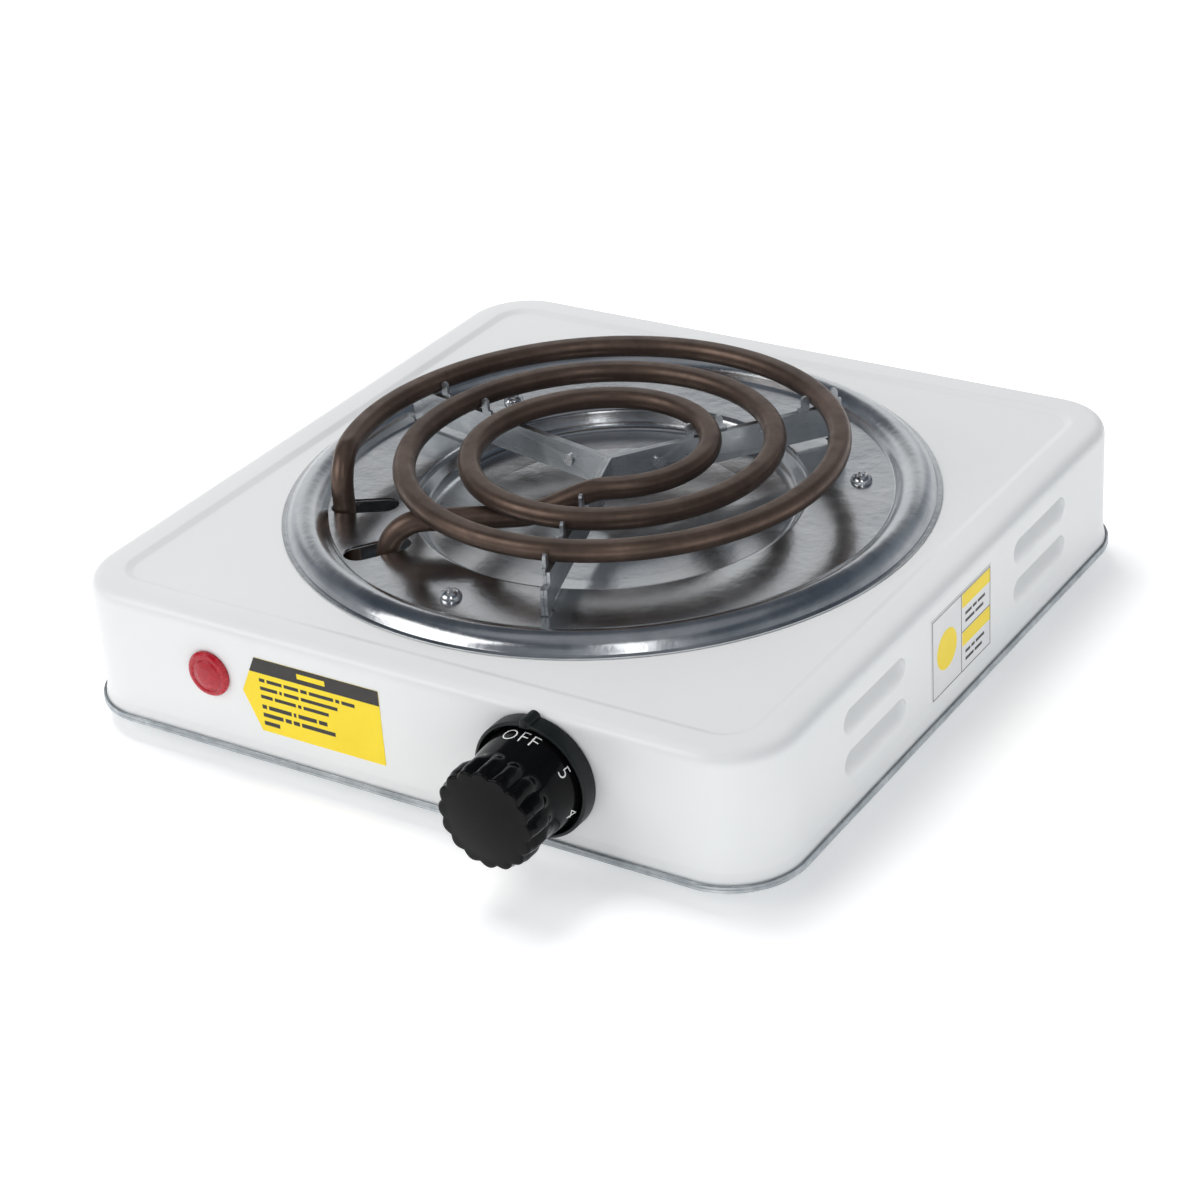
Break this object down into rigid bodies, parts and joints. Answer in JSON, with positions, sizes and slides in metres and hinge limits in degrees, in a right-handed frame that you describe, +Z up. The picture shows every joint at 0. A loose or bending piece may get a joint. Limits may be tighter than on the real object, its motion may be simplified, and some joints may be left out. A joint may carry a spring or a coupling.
{
  "type": "hot plate burner",
  "caption": "Single-coil tabletop hot plate: white sheet-steel box, round drip pan, spiral heating element on a strip spider, front control knob and red pilot lens.",
  "frame": {"origin": "on the ground under the middle of the whole object's box; the housing's centre is 11.0 mm behind it because the knob stands out in front", "axes": "+Z up; the front with the knob faces -Y; +X is to the right of someone facing the front"},
  "size_m": [0.24, 0.2742, 0.0667],
  "materials": {
    "white_paint": "semi-gloss stove enamel",
    "zinc_sheet": "galvanised, satin",
    "pan_steel": "polished with fine drawing marks",
    "sheath": "heat-browned, satin",
    "bright_steel": "bright zinc plate",
    "rubber": "matt",
    "black_gloss": "moulded, glossy",
    "black_satin": "moulded, satin",
    "white_ink": "printed",
    "brass": "bare",
    "steatite": "unglazed",
    "bimetal": "rolled",
    "red_lens": "tinted clear",
    "lamp_glass": "clear",
    "yellow_film": "printed film",
    "white_film": "printed film",
    "block_plastic": "moulded",
    "brown_wire": "silicone insulation",
    "red_wire": "silicone insulation",
    "blue_wire": "silicone insulation",
    "green_wire": "silicone insulation",
    "grey_wire": "silicone insulation"
  },
  "bodies": {
    "appliance": {"housing": "white_paint", "louvre_trays": "white_paint", "base_plate": "zinc_sheet", "corner_posts": "zinc_sheet", "rubber_feet": "rubber", "foot_screws": "bright_steel", "drip_pan": "pan_steel", "pan_screws": "bright_steel", "coil_element": "sheath", "element_pins": "bright_steel", "element_beads": "steatite", "pin_tags": "bright_steel", "spider_strip_front_left": "zinc_sheet", "spider_strip_front_right": "zinc_sheet", "spider_strip_rear": "zinc_sheet", "spider_rivets": "bright_steel", "knob_bezel": "black_satin", "spindle_bushing": "brass", "bushing_nut": "brass", "thermostat_plate": "zinc_sheet", "stack_insulators": "steatite", "stack_rivet": "brass", "leaf_terminal": "brass", "fixed_leaf": "brass", "fixed_contact": "bright_steel", "bimetal_strip": "bimetal", "bimetal_pin": "steatite", "pilot_lens": "red_lens", "pilot_retainer": "bright_steel", "neon_lamp": "lamp_glass", "lamp_resistor": "steatite", "front_label": "yellow_film", "side_label": "white_film", "cord_gland": "rubber", "terminal_block": "block_plastic", "block_barrels": "brass", "block_screws": "bright_steel", "block_mount_screw": "bright_steel", "earth_screw": "brass", "earth_tag": "brass", "wire_live": "brown_wire", "wire_element": "red_wire", "wire_neutral": "blue_wire", "wire_earth": "green_wire", "wires_pilot": "grey_wire"},
    "control_knob": {"knob": "black_gloss", "knob_numerals": "white_ink", "knob_spring_clip": "bright_steel", "spindle": "brass"},
    "thermostat_pin": {"push_pin": "steatite"},
    "contact_leaf": {"moving_leaf": "brass", "moving_contact": "bright_steel"}
  },
  "joints": [
    {"name": "knob_turn", "type": "hinge", "parent": "appliance", "child": "control_knob", "pos_m": [0.05, -0.1081, 0.0293], "axis": [0, 1, 0], "range_deg": [0, 300]},
    {"name": "pin_slide", "type": "slide", "parent": "appliance", "child": "thermostat_pin", "axis": [0, 1, 0], "range_m": [0, 0.00065]},
    {"name": "leaf_flex", "type": "hinge", "parent": "appliance", "child": "contact_leaf", "pos_m": [0.0322, -0.0974, 0.0293], "axis": [0, 0, 1], "range_deg": [0, 2.1]}
  ],
  "couplings": [
    {"joint": "pin_slide", "follows": "knob_turn", "m_per_rad": 0.0001184},
    {"joint": "leaf_flex", "follows": "knob_turn", "ratio": 0.00661}
  ]
}
